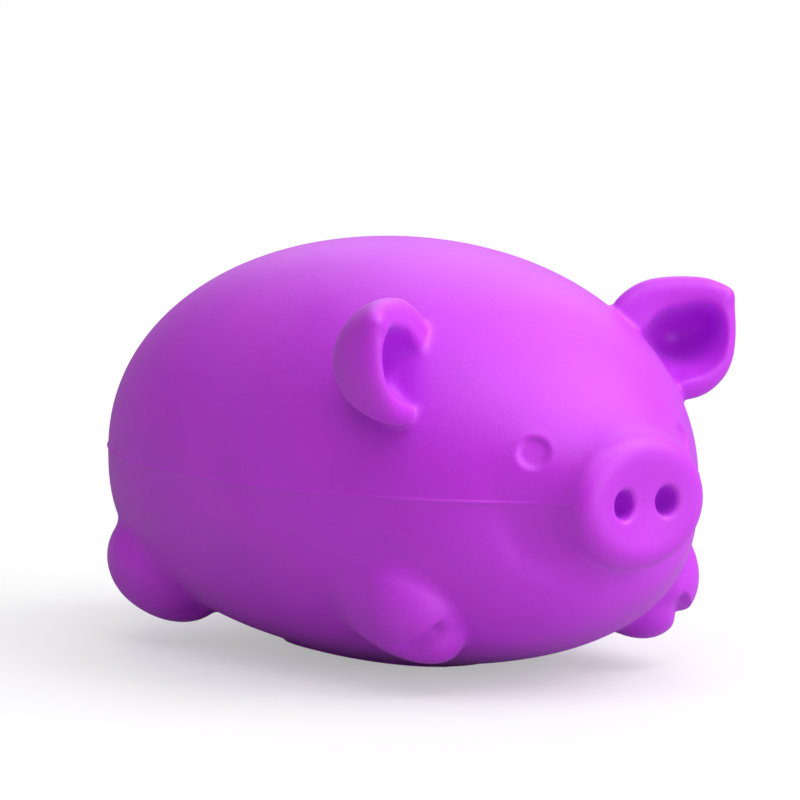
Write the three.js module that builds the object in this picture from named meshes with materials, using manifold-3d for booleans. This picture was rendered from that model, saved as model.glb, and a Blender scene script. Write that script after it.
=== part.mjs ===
// A palm-size pig squishy toy: a hollow rubber skin with a soft filling, a plugged fill hole in the
// belly, and a snout, two cupped ears, four stubby feet and a tail that flex where they join it.
// Millimetres, +Z up. The pig faces -Y and its left side is +X. The origin is on the floor, under
// the middle of the toy.

import * as THREE from 'three';
import { mergeVertices } from 'three/addons/utils/BufferGeometryUtils.js';
import Module from 'manifold-3d';

const wasm = await Module();
wasm.setup();

// Driving dimensions. A place on the body is a share of the body's own half size there, so that each
// limb stays on the skin when the body grows.

// Body: an egg-like form, widest at its middle plane
const bodyHalfLength = 45;
const bodyHalfWidth = 29.5;
const bodyHeightAboveMiddle = 27.6;
const bodyDepthBelowMiddle = 23.05;
const rearWidening = 0.061;
const chinDeepening = 0.045;
const bodyFullness = 2.085;
const bellyFullness = 2.6;
const skinWall = 2.8;
const partingLineRise = 0.8;

// Belly pad, with the flat that the toy stands on
const padRadius = 14.7;
const padRise = 0.35;
const standingFlatDepth = 0.5;

// Fill hole and its plug
const fillHoleRadius = 3;
const plugHeadRadius = 4.8;
const plugHeadThickness = 1.4;

// Gaps between neighbours
const fitGap = 0.3;
const flexGap = 0.3;

// Eyes, pressed into the skin
const eyeSide = 0.386 * bodyHalfWidth;
const eyeRise = 0.239 * bodyHeightAboveMiddle;
const eyeRadius = 2;
const eyeDepth = 0.45;
const eyeHollowRadius = 3.3;
const eyeHollowDepth = 0.4;

// Snout
const snoutHalfWidth = 9.3;
const snoutHalfHeight = 7.95;
const snoutReach = 4;
const snoutRise = 0.6;
const snoutRimRadius = 2.6;
const snoutDish = 0.5;
const snoutFlare = 1.3;
const snoutRootDepth = 9;
const nostrilSide = 3.1;
const nostrilRadius = 1.6;
const nostrilHalfHeight = 1.75;
const nostrilDepth = 3.2;
const snoutFlexDeg = 8;

// Ears: leaf-shaped cups
const earSide = 0.678 * bodyHalfWidth;
const earForward = 0.651 * bodyHalfLength;
const earRise = 0.602 * bodyHeightAboveMiddle;
const earTurnDeg = 30;
const earPitchDeg = 9;
const earCupDepth = 9;
const earRim = 2;
const earBackWall = 2.4;
const earTipOut = 6.6;
const earTipUp = 5.2;
const earOuter = 6.5;
const earTop = 7.3;
const earBottom = 7.3;
const earInner = 10.4;
const earTipLean = 1.2;
const earLobeLean = 2;
const earRootIn = 7.3;
const earRootBack = 3;
const earFlexDeg = 12;

// Feet: stubby, pointing forward and down, each of an outer toe and a lower, shorter inner toe
const outerToeHalfLength = 10.6;
const outerToeRadius = 6.8;
const innerToeHalfLength = 8.8;
const innerToeRadius = 4.7;
const innerToeIn = 1.6;
const innerToeBack = 0.4;
const innerToeDrop = 2.9;
const frontFootSide = 0.59 * bodyHalfWidth;
const frontFootForward = 0.508 * bodyHalfLength;
const frontFootDrop = 0.475 * bodyDepthBelowMiddle;
const frontFootPitchDeg = 23;
const rearFootSide = 0.695 * bodyHalfWidth;
const rearFootBack = 0.433 * bodyHalfLength;
const rearFootDrop = 0.555 * bodyDepthBelowMiddle;
const rearFootPitchDeg = 9;
const footFlexDeg = 8;

// Tail: a short curl
const tailRise = 0.254 * bodyHeightAboveMiddle;
const tailCurlRadius = 2.9;
const tailRootRadius = 2;
const tailTipRadius = 1.1;
const tailCurlDeg = 261;
const tailStandOff = 1.6;
const tailReach = 2.35;
const tailFlexDeg = 20;

// Mesh counts
const bodyRounds = 40;
const bodyRings = 22;
const limbRounds = 26;
const limbRings = 12;
const snoutRounds = 32;
const tailSteps = 22;
const tailRounds = 10;

// Colours
const skinColour = 0xb83fd8;
const doughColour = 0xd9c4a8;
const rubber = { roughness: 0.62, metalness: 0 };

// Worked-out places

const floorDrop = bodyDepthBelowMiddle + padRise - standingFlatDepth;
const middleHeight = floorDrop;
const farAway = 200;

const radians = (degrees) => (degrees * Math.PI) / 180;
const signedPower = (value, power) => Math.sign(value) * Math.abs(value) ** power;

// Solids and meshes

// A closed grid: rows of points between two poles, each row a ring
function closedGrid(firstPole, rows, lastPole) {
  const around = rows[0].length;
  const points = [firstPole, ...rows.flat(), lastPole];
  const last = points.length - 1;
  const at = (row, step) => 1 + row * around + (step % around);
  const index = [];
  for (let step = 0; step < around; step += 1) {
    index.push(0, at(0, step), at(0, step + 1));
    for (let row = 0; row + 1 < rows.length; row += 1) {
      index.push(at(row, step), at(row + 1, step), at(row + 1, step + 1));
      index.push(at(row, step), at(row + 1, step + 1), at(row, step + 1));
    }
    index.push(last, at(rows.length - 1, step + 1), at(rows.length - 1, step));
  }
  const geometry = new THREE.BufferGeometry();
  const flat = points.flatMap((point) => [point.x, point.y, point.z]);
  geometry.setAttribute('position', new THREE.Float32BufferAttribute(flat, 3));
  geometry.setIndex(index);
  return geometry;
}

// A manifold solid from a closed geometry, with its faces turned outwards
function solidFrom(geometry) {
  const bare = geometry.clone();
  bare.deleteAttribute('normal');
  bare.deleteAttribute('uv');
  const merged = mergeVertices(bare, 1e-5);
  const vertProperties = new Float32Array(merged.attributes.position.array);
  const triVerts = new Uint32Array(merged.index.array);
  const solid = new wasm.Manifold(new wasm.Mesh({ numProp: 3, vertProperties, triVerts }));
  if (solid.volume() > 0) return solid;
  triVerts.reverse();
  return new wasm.Manifold(new wasm.Mesh({ numProp: 3, vertProperties, triVerts }));
}

function geometryFrom(solid) {
  const mesh = solid.getMesh();
  const geometry = new THREE.BufferGeometry();
  geometry.setAttribute('position', new THREE.Float32BufferAttribute(mesh.vertProperties, 3));
  geometry.setIndex(new THREE.Uint32BufferAttribute(mesh.triVerts, 1));
  geometry.computeVertexNormals();
  return geometry;
}

// A copy of a solid turned about an axis through a point
function turned(solid, point, axis, degrees) {
  const matrix = new THREE.Matrix4()
    .makeTranslation(point.x, point.y, point.z)
    .multiply(new THREE.Matrix4().makeRotationAxis(axis, radians(degrees)))
    .multiply(new THREE.Matrix4().makeTranslation(-point.x, -point.y, -point.z));
  return solid.transform(matrix.elements);
}

const box = (width, length, height, x, y, z) =>
  solidFrom(new THREE.BoxGeometry(width, length, height).translate(x, y, z));

// Body surface

const lowerDepth = (y) => bodyDepthBelowMiddle * (1 - (chinDeepening * y) / bodyHalfLength);
const heightScale = (up, y) => (up > 0 ? bodyHeightAboveMiddle : lowerDepth(y));
const heightFullness = (up) => (up > 0 ? bodyFullness : bellyFullness);
const heightTerm = (up, y) => Math.abs(up / heightScale(up, y)) ** heightFullness(up);
const widthAt = (y) => bodyHalfWidth * (1 + (rearWidening * y) / bodyHalfLength);

// How far out a point lies: 1 on the body surface, less inside it
function bodyLevel(point) {
  const up = point.z - middleHeight;
  return Math.abs(point.x / widthAt(point.y)) ** bodyFullness
    + Math.abs(point.y / bodyHalfLength) ** bodyFullness
    + heightTerm(up, point.y);
}

function bodyNormal(point) {
  const step = 0.01;
  const slope = new THREE.Vector3();
  ['x', 'y', 'z'].forEach((axis) => {
    const ahead = point.clone();
    const behind = point.clone();
    ahead[axis] += step;
    behind[axis] -= step;
    slope[axis] = bodyLevel(ahead) - bodyLevel(behind);
  });
  return slope.normalize();
}

// A point of the surface at a turn about Z and a height angle, moved out along the normal
function bodyPoint(turn, lift, outward) {
  const power = 2 / bodyFullness;
  const y = bodyHalfLength * signedPower(Math.cos(lift) * Math.sin(turn), power);
  const up = signedPower(Math.sin(lift), 2 / heightFullness(lift));
  const point = new THREE.Vector3(
    widthAt(y) * signedPower(Math.cos(lift) * Math.cos(turn), power),
    y,
    middleHeight + heightScale(up, y) * up,
  );
  return point.add(bodyNormal(point).multiplyScalar(outward));
}

// The surface point straight out from the body's upright axis plane at a height and a place along it
function skinPoint(side, y, up) {
  const left = 1 - Math.abs(y / bodyHalfLength) ** bodyFullness - heightTerm(up, y);
  return new THREE.Vector3(side * widthAt(y) * left ** (1 / bodyFullness), y, middleHeight + up);
}

// The surface point ahead of a place on the face
function facePoint(x, up) {
  const across = Math.abs(x / widthAt(-bodyHalfLength)) ** bodyFullness;
  const left = 1 - across - heightTerm(up, -bodyHalfLength);
  return new THREE.Vector3(x, -bodyHalfLength * left ** (1 / bodyFullness), middleHeight + up);
}

function bodySolid(outward) {
  const rows = [];
  for (let row = 1; row < bodyRings; row += 1) {
    const lift = -Math.PI / 2 + (Math.PI * row) / bodyRings;
    const ring = [];
    for (let step = 0; step < bodyRounds; step += 1) {
      ring.push(bodyPoint((2 * Math.PI * step) / bodyRounds, lift, outward));
    }
    rows.push(ring);
  }
  const bottom = bodyPoint(0, -Math.PI / 2, outward);
  const top = bodyPoint(0, Math.PI / 2, outward);
  return solidFrom(closedGrid(bottom, rows, top));
}

const clearBody = bodySolid(flexGap);

// A limb, cut back from the body so that it clears it through its whole flex
function cutFromBody(limb, hinge, flexDeg) {
  return [-1, -0.5, 0, 0.5, 1].reduce(
    (left, share) => left.subtract(turned(clearBody, hinge.point, hinge.axis, share * flexDeg)),
    limb,
  );
}

// Skin

const partingHeight = middleHeight + partingLineRise;
const aboveParting = box(farAway, farAway, farAway, 0, 0, partingHeight + fitGap / 2 + farAway / 2);
const belowParting = box(farAway, farAway, farAway, 0, 0, partingHeight - fitGap / 2 - farAway / 2);
const aboveFloor = box(farAway, farAway, farAway, 0, 0, farAway / 2);

function skinShell() {
  return bodySolid(0).subtract(bodySolid(-skinWall));
}

// A round tool: a cylinder along an axis, sharp-edged
function roundTool(radius, length, centre, axis) {
  const turn = new THREE.Quaternion().setFromUnitVectors(new THREE.Vector3(0, 1, 0), axis);
  const geometry = new THREE.CylinderGeometry(radius, radius, length, limbRounds);
  geometry.applyQuaternion(turn).translate(centre.x, centre.y, centre.z);
  return solidFrom(geometry);
}

// A shallow round hollow with a pressed disc in its middle
function eyeTool(side) {
  const place = facePoint(side * eyeSide, eyeRise);
  const outward = bodyNormal(place);
  const ballRadius = (eyeHollowRadius ** 2 + eyeHollowDepth ** 2) / (2 * eyeHollowDepth);
  const ballCentre = place.clone().addScaledVector(outward, ballRadius - eyeHollowDepth);
  const ball = new THREE.SphereGeometry(ballRadius, 3 * limbRounds, 3 * limbRings)
    .translate(ballCentre.x, ballCentre.y, ballCentre.z);
  const discCentre = place.clone().addScaledVector(outward, -eyeHollowDepth);
  const disc = roundTool(eyeRadius, 2 * eyeDepth, discCentre, outward);
  const reach = roundTool(eyeHollowRadius, 4 * eyeHollowRadius, place, outward);
  return solidFrom(ball).intersect(reach).add(disc);
}

function upperSkin() {
  return [-1, 1].reduce(
    (skin, side) => skin.subtract(eyeTool(side)),
    skinShell().intersect(aboveParting),
  );
}

// An upright round tool at the middle of the belly, half of its height above the floor
const bellyTool = (radius, height) =>
  roundTool(radius, height, new THREE.Vector3(), new THREE.Vector3(0, 0, 1));

function lowerSkin() {
  const pad = bodySolid(padRise).subtract(bodySolid(-skinWall));
  const fillHole = bellyTool(fillHoleRadius + fitGap, middleHeight);
  return skinShell()
    .intersect(belowParting)
    .add(pad.intersect(bellyTool(padRadius, middleHeight)))
    .intersect(aboveFloor)
    .subtract(fillHole);
}

// Filling and plug

const innerFloor = middleHeight - bodyDepthBelowMiddle + skinWall;
const plugTop = innerFloor + fitGap + plugHeadThickness;

function bellyPlug() {
  const outline = [
    [0, 0],
    [fillHoleRadius, 0],
    [fillHoleRadius, innerFloor + 2 * fitGap],
    [plugHeadRadius, innerFloor + 2 * fitGap],
    [plugHeadRadius, plugTop],
    [0, plugTop],
  ].map(([x, y]) => new THREE.Vector2(x, y));
  return solidFrom(new THREE.LatheGeometry(outline, limbRounds).rotateX(Math.PI / 2));
}

function filling() {
  const room = bellyTool(plugHeadRadius + fitGap, 2 * (plugTop + fitGap));
  return bodySolid(-skinWall - fitGap).subtract(room);
}

// Snout

const snoutHinge = {
  point: new THREE.Vector3(0, facePoint(0, snoutRise).y, middleHeight + snoutRise),
  axis: new THREE.Vector3(1, 0, 0),
};

const snoutFront = bodyHalfLength + snoutReach;

// Half width and half height of the snout at a distance back from its front, as a share of the rim's:
// a dished front, a rounded rim and a neck that flares to the face
function snoutProfile() {
  const rows = [];
  const dishSteps = 2;
  const dishShare = 1 - snoutRimRadius / snoutHalfWidth;
  for (let step = 1; step <= dishSteps; step += 1) {
    const share = (dishShare * step) / (dishSteps + 1);
    rows.push({ share, back: snoutDish * (1 - share ** 2) });
  }
  const rimSteps = 5;
  for (let step = 0; step <= rimSteps; step += 1) {
    const angle = (Math.PI / 2) * (step / rimSteps);
    const inset = (snoutRimRadius * (1 - Math.sin(angle))) / snoutHalfWidth;
    rows.push({ share: 1 - inset, back: snoutRimRadius * (1 - Math.cos(angle)) });
  }
  const neckSteps = 3;
  for (let step = 1; step <= neckSteps; step += 1) {
    const along = step / neckSteps;
    rows.push({
      share: 1 + (snoutFlare / snoutHalfWidth) * along ** 2,
      back: snoutRimRadius + (snoutRootDepth - snoutRimRadius) * along,
    });
  }
  return rows;
}

function snout() {
  const pointAt = (share, back, turn) => new THREE.Vector3(
    share * snoutHalfWidth * Math.cos(turn),
    -snoutFront + back,
    middleHeight + snoutRise + share * snoutHalfHeight * Math.sin(turn),
  );
  const steps = [...Array(snoutRounds).keys()];
  const rows = snoutProfile().map(({ share, back }) =>
    steps.map((step) => pointAt(share, back, (2 * Math.PI * step) / snoutRounds)));
  const whole = solidFrom(closedGrid(pointAt(0, snoutDish, 0), rows, pointAt(0, snoutRootDepth, 0)));
  const nostrils = [-1, 1].map((side) => {
    const geometry = new THREE.SphereGeometry(1, limbRings, limbRings)
      .scale(nostrilRadius, nostrilDepth, nostrilHalfHeight)
      .translate(side * nostrilSide, -snoutFront + snoutDish, middleHeight + snoutRise);
    return solidFrom(geometry);
  });
  const hollowed = nostrils.reduce((left, nostril) => left.subtract(nostril), whole);
  return cutFromBody(hollowed, snoutHinge, snoutFlexDeg);
}

// Ears

// The leaf outline in the ear's own plane, outward along x and up along y: from the tip down the outer
// edge, along the bottom and back over the top, each place a share of the reach on its side
const earOutline = new THREE.CatmullRomCurve3(
  [
    [earTipOut, earTipUp],
    [earOuter, 0],
    [0.8 * earOuter, -0.58 * earBottom],
    [0.4 * earOuter, -0.88 * earBottom],
    [-0.1 * earInner, -earBottom],
    [-0.7 * earInner, -0.8 * earBottom],
    [-earInner, 0],
    [-0.65 * earInner, 0.78 * earTop],
    [-0.1 * earInner, earTop],
    [0.65 * earTipOut, 0.9 * earTop],
  ].map(([out, up]) => new THREE.Vector3(out, up, 0)),
  true,
  'centripetal',
);

// The ear's frame: out sideways, up, and the way that the cup faces
function earFrame(side) {
  const turn = radians(earTurnDeg);
  const out = new THREE.Vector3(side * Math.cos(turn), -Math.sin(turn), 0);
  const facing = new THREE.Vector3(-side * Math.sin(turn), -Math.cos(turn), 0);
  const up = new THREE.Vector3(0, 0, 1);
  [facing, up].forEach((way) => way.applyAxisAngle(out, -side * radians(earPitchDeg)));
  const centre = new THREE.Vector3(side * earSide, -earForward, middleHeight + earRise);
  return { centre, out, up, facing };
}

function earHinge(side) {
  const frame = earFrame(side);
  const root = frame.centre.clone()
    .addScaledVector(frame.out, -earRootIn)
    .addScaledVector(frame.facing, -earRootBack);
  const normal = bodyNormal(root);
  const axis = frame.up.clone().addScaledVector(normal, -normal.dot(frame.up)).normalize();
  return { point: root, axis };
}

function ear(side) {
  const frame = earFrame(side);
  const place = (outline, share, inset, depth) => {
    const reach = Math.hypot(outline.x, outline.y);
    const kept = (share * (reach - inset)) / reach;
    const tipLean = earTipLean * Math.max(0, (outline.x + outline.y) / (earTipOut + earTipUp)) ** 2;
    const lobeLean = earLobeLean * Math.max(0, -outline.y / earBottom) ** 2;
    return frame.centre.clone()
      .addScaledVector(frame.out, kept * outline.x)
      .addScaledVector(frame.up, kept * outline.y)
      .addScaledVector(frame.facing, -depth - share ** 2 * (tipLean + lobeLean));
  };
  const around = earOutline.getPoints(limbRounds).slice(0, -1);
  const ring = (share, inset, depth) => around.map((outline) => place(outline, share, inset, depth));
  const rows = [];
  const cupSteps = 6;
  for (let step = 1; step <= cupSteps; step += 1) {
    const angle = (Math.PI / 2) * (step / cupSteps);
    rows.push(ring(Math.sin(angle), 0, earCupDepth * Math.cos(angle)));
  }
  rows.push(ring(1, earRim / 2, -earRim / 3));
  for (let step = cupSteps; step >= 1; step -= 1) {
    const angle = (Math.PI / 2) * (step / cupSteps);
    rows.push(ring(Math.sin(angle), earRim, (earCupDepth - earBackWall) * Math.cos(angle)));
  }
  const pole = (depth) => frame.centre.clone().addScaledVector(frame.facing, -depth);
  const cup = solidFrom(closedGrid(pole(earCupDepth), rows, pole(earCupDepth - earBackWall)));
  return cutFromBody(cup, earHinge(side), earFlexDeg);
}

// Feet

const feet = {
  front: { out: frontFootSide, y: -frontFootForward, drop: frontFootDrop, pitch: frontFootPitchDeg },
  rear: { out: rearFootSide, y: rearFootBack, drop: rearFootDrop, pitch: rearFootPitchDeg },
};

function footHinge(side, which) {
  const { y, drop } = feet[which];
  return { point: skinPoint(side, y, -drop), axis: new THREE.Vector3(0, 1, 0) };
}

function toe(halfLength, radius, pitch, x, y, z) {
  const geometry = new THREE.SphereGeometry(1, limbRounds, limbRings)
    .rotateX(Math.PI / 2)
    .scale(radius, halfLength, radius)
    .rotateX(radians(pitch))
    .translate(x, y, z);
  return solidFrom(geometry);
}

function foot(side, which) {
  const { out, y, drop, pitch } = feet[which];
  const outer = toe(outerToeHalfLength, outerToeRadius, pitch, side * out, y, middleHeight - drop);
  const inner = toe(
    innerToeHalfLength,
    innerToeRadius,
    pitch,
    side * (out - innerToeIn),
    y + innerToeBack,
    middleHeight - drop - innerToeDrop,
  );
  return cutFromBody(outer.add(inner), footHinge(side, which), footFlexDeg);
}

// Tail

const tailHinge = {
  point: new THREE.Vector3(0, -facePoint(0, tailRise).y, middleHeight + tailRise),
  axis: new THREE.Vector3(0, 0, 1),
};

// A round tube along a path, tapering to a rounded tip
function taperedTube(path, rootRadius, tipRadius, steps, rounds) {
  const frames = path.computeFrenetFrames(steps, false);
  const rows = [];
  for (let step = 0; step <= steps; step += 1) {
    const along = step / steps;
    const radius = rootRadius + (tipRadius - rootRadius) * along;
    const centre = path.getPointAt(along);
    rows.push(Array.from({ length: rounds }, (unused, turn) => {
      const angle = (2 * Math.PI * turn) / rounds;
      return centre.clone()
        .addScaledVector(frames.normals[step], radius * Math.cos(angle))
        .addScaledVector(frames.binormals[step], radius * Math.sin(angle));
    }));
  }
  const first = path.getPointAt(0);
  const last = path.getPointAt(1).addScaledVector(frames.tangents[steps], tipRadius / 2);
  return solidFrom(closedGrid(first, rows, last));
}

function tail() {
  const root = tailHinge.point;
  const points = [new THREE.Vector3(root.x, root.y - 2 * skinWall, root.z)];
  const curlPoints = 8;
  for (let point = 0; point <= curlPoints; point += 1) {
    const along = point / curlPoints;
    const angle = -Math.PI / 2 + radians(tailCurlDeg) * along;
    points.push(new THREE.Vector3(
      root.x + tailCurlRadius * Math.cos(angle),
      root.y + tailStandOff + (tailReach - tailStandOff) * along,
      root.z + tailCurlRadius * (1 + Math.sin(angle)),
    ));
  }
  const path = new THREE.CatmullRomCurve3(points);
  const curl = taperedTube(path, tailRootRadius, tailTipRadius, tailSteps, tailRounds);
  return cutFromBody(curl, tailHinge, tailFlexDeg);
}

// The toy

const group = new THREE.Group();

function addPart(name, solid, colour, hinge) {
  const material = new THREE.MeshStandardMaterial({ color: colour, ...rubber });
  const mesh = new THREE.Mesh(geometryFrom(solid), material);
  mesh.name = name;
  if (hinge) mesh.userData.hinge = hinge;
  group.add(mesh);
}

addPart('upper_skin', upperSkin(), skinColour);
addPart('lower_skin', lowerSkin(), skinColour);
addPart('filling', filling(), doughColour);
addPart('belly_plug', bellyPlug(), skinColour);
addPart('snout', snout(), skinColour, snoutHinge);
addPart('tail', tail(), skinColour, tailHinge);
[['left', 1], ['right', -1]].forEach(([hand, side]) => {
  addPart(`${hand}_ear`, ear(side), skinColour, earHinge(side));
  addPart(`front_${hand}_foot`, foot(side, 'front'), skinColour, footHinge(side, 'front'));
  addPart(`rear_${hand}_foot`, foot(side, 'rear'), skinColour, footHinge(side, 'rear'));
});

// The origin goes on the floor under the middle of the whole toy, snout and tail included
const middle = new THREE.Box3().setFromObject(group, true).getCenter(new THREE.Vector3());
group.children.forEach((mesh) => {
  mesh.geometry.translate(-middle.x, -middle.y, 0);
  if (mesh.userData.hinge) mesh.userData.hinge.point.add(new THREE.Vector3(-middle.x, -middle.y, 0));
});

export default group;
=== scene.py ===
# %% [markdown]
# # A pig squishy toy
# The toy is one moulding of very soft rubber: a hollow body with cupped ears, a blunt snout, four
# stubby feet and a curled tail. What can't be seen is guessed: that it is filled with dough through a
# hole in the belly, which a plug closes. It has hardly a sharp edge, and every limb runs into the body
# with a soft fillet. That decides how this scene is made: each form is a field, a function that gives
# the distance from its surface, and two fields are joined by a soft minimum, which makes the fillet by
# itself. Each mesh is then made of points that are moved until their field is zero.

import bpy
import numpy as np
from mathutils import Euler, Matrix, Vector


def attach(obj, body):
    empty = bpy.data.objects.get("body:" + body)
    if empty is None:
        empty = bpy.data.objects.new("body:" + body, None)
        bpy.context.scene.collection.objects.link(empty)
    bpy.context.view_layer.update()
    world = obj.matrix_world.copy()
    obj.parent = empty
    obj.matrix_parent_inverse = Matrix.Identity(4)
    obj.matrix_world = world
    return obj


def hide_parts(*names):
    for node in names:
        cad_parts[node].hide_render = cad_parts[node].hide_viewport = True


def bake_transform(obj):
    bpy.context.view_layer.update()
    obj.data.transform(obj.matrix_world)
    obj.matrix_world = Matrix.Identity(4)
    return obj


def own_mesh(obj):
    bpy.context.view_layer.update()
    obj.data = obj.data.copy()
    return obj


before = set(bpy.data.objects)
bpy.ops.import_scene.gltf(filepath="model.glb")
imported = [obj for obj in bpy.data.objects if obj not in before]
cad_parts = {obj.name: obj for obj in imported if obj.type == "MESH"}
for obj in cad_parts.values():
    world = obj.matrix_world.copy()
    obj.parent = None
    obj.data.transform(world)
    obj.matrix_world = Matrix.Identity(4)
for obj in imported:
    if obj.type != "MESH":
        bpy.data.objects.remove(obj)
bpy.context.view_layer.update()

# %% [markdown]
# ## Measurements
# The solids of the frame were drawn from these same numbers, in millimetres from the middle of the
# body, so a piece made from them lands where its solid is. Only at the very end, when points go into
# a mesh, are they turned into metres and moved to the frame's origin on the floor.

# %% The body's own measurements
MM = 0.001
MIDDLE = np.array([0.0, 0.911, 22.9])
HALF_LENGTH, HALF_WIDTH, TOP, DEPTH = 45.0, 29.5, 27.6, 23.05
REAR_WIDENING, CHIN_DEEPENING = 0.061, 0.045
FULLNESS, BELLY_FULLNESS = 2.085, 2.6
SKIN_WALL = 2.8
PARTING_RISE = 0.8
PAD_RADIUS, PAD_RISE = 14.7, 0.35
FLOOR = -MIDDLE[2]
HOLE_RADIUS, PLUG_RADIUS, PLUG_HEAD_RADIUS = 3.3, 3.0, 4.8
print("body in mm:", 2 * HALF_LENGTH, 2 * HALF_WIDTH, TOP + DEPTH)

# %% [markdown]
# ## Fields
# A field takes an array of points and gives one number for each: how far outside a form the point is,
# or minus how far inside. Any formula that is zero on the surface will do to start with, because
# dividing it by its own slope turns it into millimetres near the surface.

# %% Tools that work on every field
def slope(field, points, step=0.02):
    """How a field changes along x, y and z: the difference between a step ahead and a step behind."""
    ways = np.eye(3) * step
    changes = [field(points + way) - field(points - way) for way in ways]
    return np.stack(changes, axis=-1) / (2 * step)


def length(vectors):
    """Each vector's length, the root of the sum of its squares."""
    return np.sqrt((vectors**2).sum(axis=-1))


def unit(vectors):
    """Each vector divided by its own length."""
    return vectors / np.maximum(length(vectors), 1e-9)[..., None]


def in_millimetres(level, points):
    """A level divided by the size of its slope: near the surface, that is the distance from it."""
    return level(points) / np.maximum(length(slope(level, points)), 1e-3)


def soft_min(a, b, reach):
    """The lesser of a and b, rounded off where they differ by less than reach: with h the share of
    reach that is left, h squared times a quarter of reach is taken off. It joins two forms."""
    h = np.maximum(reach - np.abs(a - b), 0) / reach
    return np.minimum(a, b) - h**2 * reach / 4


def soft_max(a, b, reach):
    """The greater of a and b, rounded off in the same way. It cuts one form with another."""
    return -soft_min(-a, -b, reach)


def soft_step(x):
    """0 below 0, 1 above 1, and 3x squared less 2x cubed between, which starts and ends level."""
    x = np.clip(x, 0, 1)
    return x * x * (3 - 2 * x)


def bell(x):
    """1 at 0 and less and less on either side: e to the power of minus x squared."""
    return np.exp(-(x**2))


def reach_along(field, start, ways, furthest, nearest=0.0):
    """How far along each direction a field turns from inside to outside. The stretch is halved 12
    times, and the last piece of it is shared by the two values that the field has at its ends."""
    low = np.full(ways.shape[:-1], float(nearest))
    high = np.full(ways.shape[:-1], float(furthest))
    for _ in range(12):
        half = (low + high) / 2
        inside = field(start + half[..., None] * ways) < 0
        low, high = np.where(inside, half, low), np.where(inside, high, half)
    at_low, at_high = (field(start + end[..., None] * ways) for end in (low, high))
    share = np.clip(at_low / np.where(at_low == at_high, -1, at_low - at_high), 0, 1)
    return low + share * (high - low)


def settle(field, points, most):
    """Points moved onto a field's surface: in each of three rounds a point goes down the slope by what
    the field says is left, at most by the given amount. Where the field is nearly level, its slope
    counts as no less than the least one."""
    least_slope_squared = 0.05
    for _ in range(3):
        steep = slope(field, points)
        left = field(points) / np.maximum((steep**2).sum(axis=-1), least_slope_squared)
        size = np.maximum(length(steep) * np.abs(left), 1e-9)
        left = left * np.minimum(1, most / size)
        points = points - left[..., None] * steep
    return points


# %% [markdown]
# ## From points to a mesh
# Two ways are enough for this toy. The plain forms take a grid of points: rows run from one pole to
# the other, each row goes once round, and a pole is written once and closed with triangles. Forms with
# rims, cups and curls have no such rows, so a surface is wrapped round their field instead.

# %% Making a piece from rows of points
def ring_faces(first, second, around):
    """The quads between two rings of points that start at the given numbers."""
    step = np.arange(around)
    ahead = (step + 1) % around
    return np.stack([first + step, first + ahead, second + ahead, second + step], axis=1)


def fan_faces(pole, ring, around, flip):
    """The triangles between a pole and the ring next to it."""
    step = np.arange(around)
    ahead = (step + 1) % around
    sides = (ahead, step) if flip else (step, ahead)
    return np.stack([np.full(around, pole), ring + sides[0], ring + sides[1]], axis=1)


def new_object(name, data):
    """An object with the given data, put into the scene."""
    made = bpy.data.objects.new(name, data)
    bpy.context.collection.objects.link(made)
    return made


def make_piece(name, points, quads, triangles):
    """A mesh object from points in body millimetres. If its volume comes out below zero, every face
    is turned round, so that faces point outwards."""
    places = (points + MIDDLE) * MM
    corners = np.concatenate([quads[:, [0, 1, 2]], quads[:, [0, 2, 3]], triangles])
    a, b, c = (places[corners[:, i]] for i in range(3))
    if (a * np.cross(b, c)).sum() < 0:
        quads, triangles = quads[:, ::-1], triangles[:, ::-1]
    mesh = bpy.data.meshes.new(name)
    mesh.from_pydata(places.tolist(), [], quads.tolist() + triangles.tolist())
    mesh.polygons.foreach_set("use_smooth", np.ones(len(mesh.polygons), bool))
    mesh.update()
    print(f"{name}: {2 * len(quads) + len(triangles)} triangles")
    return new_object(name, mesh)


def closed_piece(name, rows):
    """A closed piece from rows whose first and last are poles."""
    count, around = rows.shape[:2]
    rings = count - 2
    flat = np.concatenate([rows[:1, 0], rows[1:-1].reshape(-1, 3), rows[-1:, 0]])
    quads = np.concatenate([
        ring_faces(1 + ring * around, 1 + (ring + 1) * around, around) for ring in range(rings - 1)
    ])
    last = len(flat) - 1
    triangles = np.concatenate([
        fan_faces(0, 1, around, True),
        fan_faces(last, 1 + (rings - 1) * around, around, False),
    ])
    return make_piece(name, flat, quads, triangles)


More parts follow.
